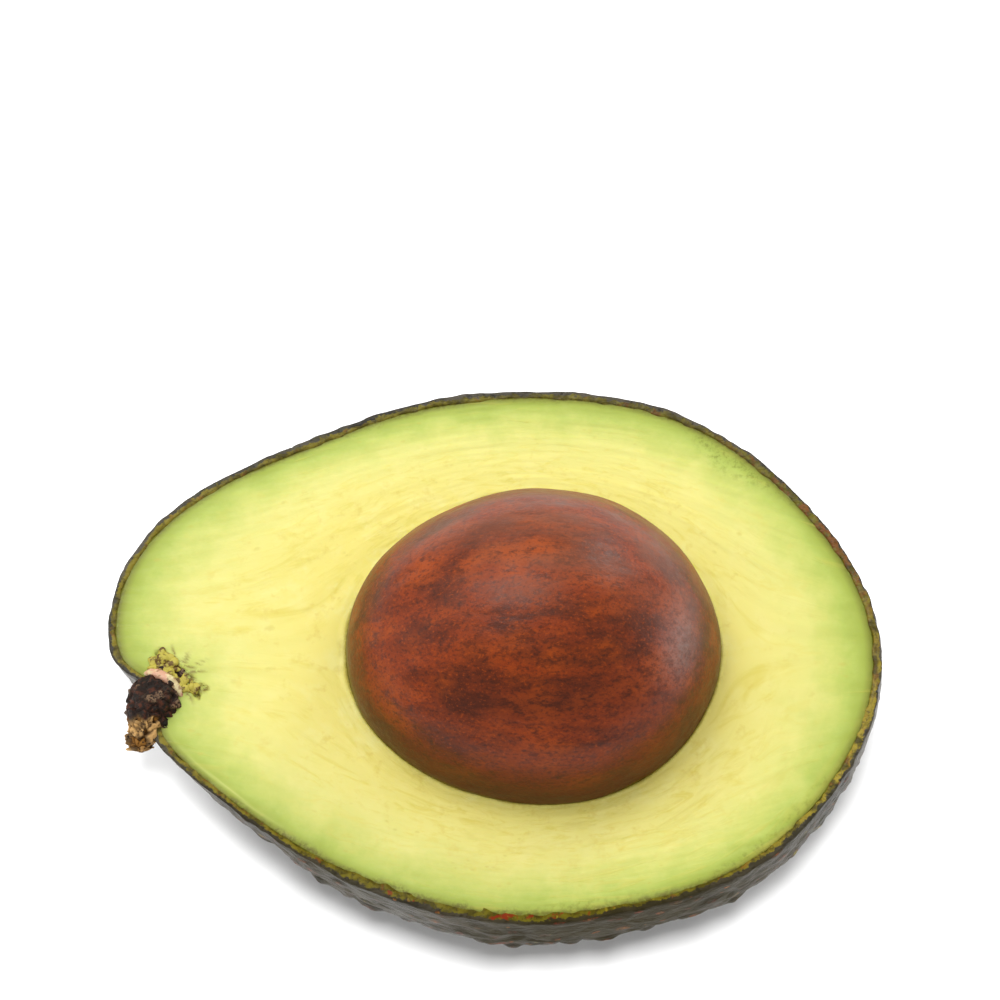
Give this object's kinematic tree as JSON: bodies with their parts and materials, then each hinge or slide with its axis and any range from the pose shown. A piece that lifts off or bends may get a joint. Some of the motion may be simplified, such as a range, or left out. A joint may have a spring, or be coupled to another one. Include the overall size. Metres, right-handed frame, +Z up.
{
  "type": "avocado half",
  "caption": "Half of a ripe dark-skinned avocado, cut lengthwise and lying on its skin, with the seed in its hollow and a stem stub at the neck.",
  "frame": {"origin": "middle of the small flat spot on the belly of the skin, on which the half rests", "axes": "+Z up, square to the cut face; +X along the fruit towards its blossom end, so the stem is on the -X side; +Y to the left of +X, the side to which the bent neck leans"},
  "size_m": [0.0985, 0.0721, 0.056],
  "materials": {
    "skin": "satin",
    "flesh": "satin",
    "seed": "satin",
    "stem": "matte"
  },
  "bodies": {
    "root": {"skin": "skin", "flesh": "flesh", "seed": "seed", "stem": "stem"}
  },
  "joints": []
}
